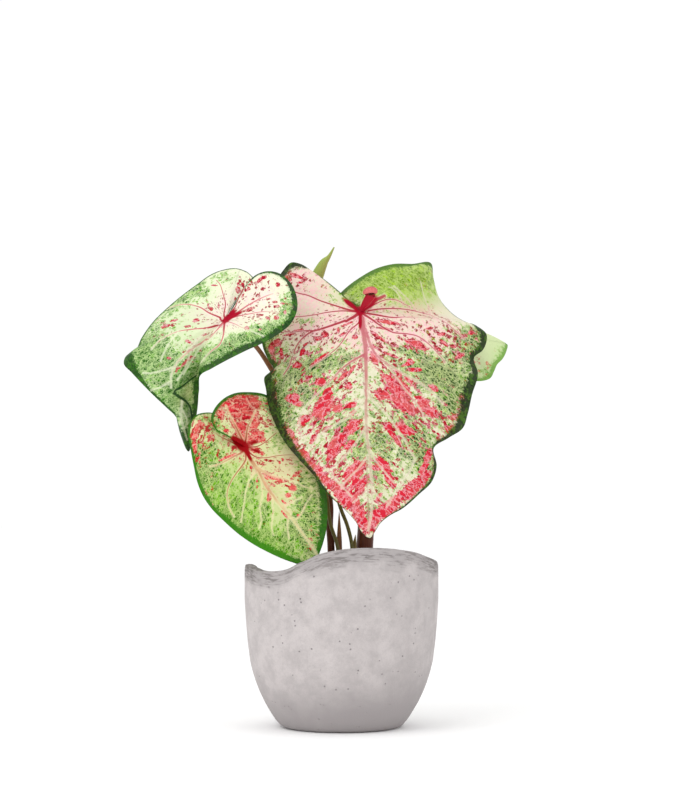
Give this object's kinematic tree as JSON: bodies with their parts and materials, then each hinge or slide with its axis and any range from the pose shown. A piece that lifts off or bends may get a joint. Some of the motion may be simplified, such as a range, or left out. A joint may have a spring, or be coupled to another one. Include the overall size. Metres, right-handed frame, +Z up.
{
  "type": "potted caladium",
  "caption": "Potted caladium: heart-shaped variegated leaves on arching stalks, rising from soil in a round cast pot with a wavy rim.",
  "frame": {"origin": "middle of the pot's flat base, on the surface that it stands on", "axes": "+Z up; +X to the right and -Y to the front, as the picture shows the plant"},
  "size_m": [0.2608, 0.1403, 0.3238],
  "materials": {
    "pot_concrete": "matte",
    "potting_soil": "matte",
    "rosy_blade": "satin",
    "green_blade": "satin",
    "mottled_blade": "satin",
    "pale_blade": "satin",
    "young_blade": "satin",
    "brown_stalk": "satin",
    "olive_stalk": "satin"
  },
  "bodies": {
    "root": {"pot": "pot_concrete", "soil": "potting_soil", "front_leaf_blade": "rosy_blade", "front_leaf_stalk": "brown_stalk", "left_leaf_blade": "green_blade", "left_leaf_stalk": "brown_stalk", "low_leaf_blade": "mottled_blade", "low_leaf_stalk": "olive_stalk", "right_leaf_blade": "pale_blade", "right_leaf_stalk": "brown_stalk", "rolled_leaf_blade": "young_blade", "rolled_leaf_stalk": "olive_stalk", "bud_sheath": "brown_stalk", "stalk_sheath": "olive_stalk"}
  },
  "joints": []
}
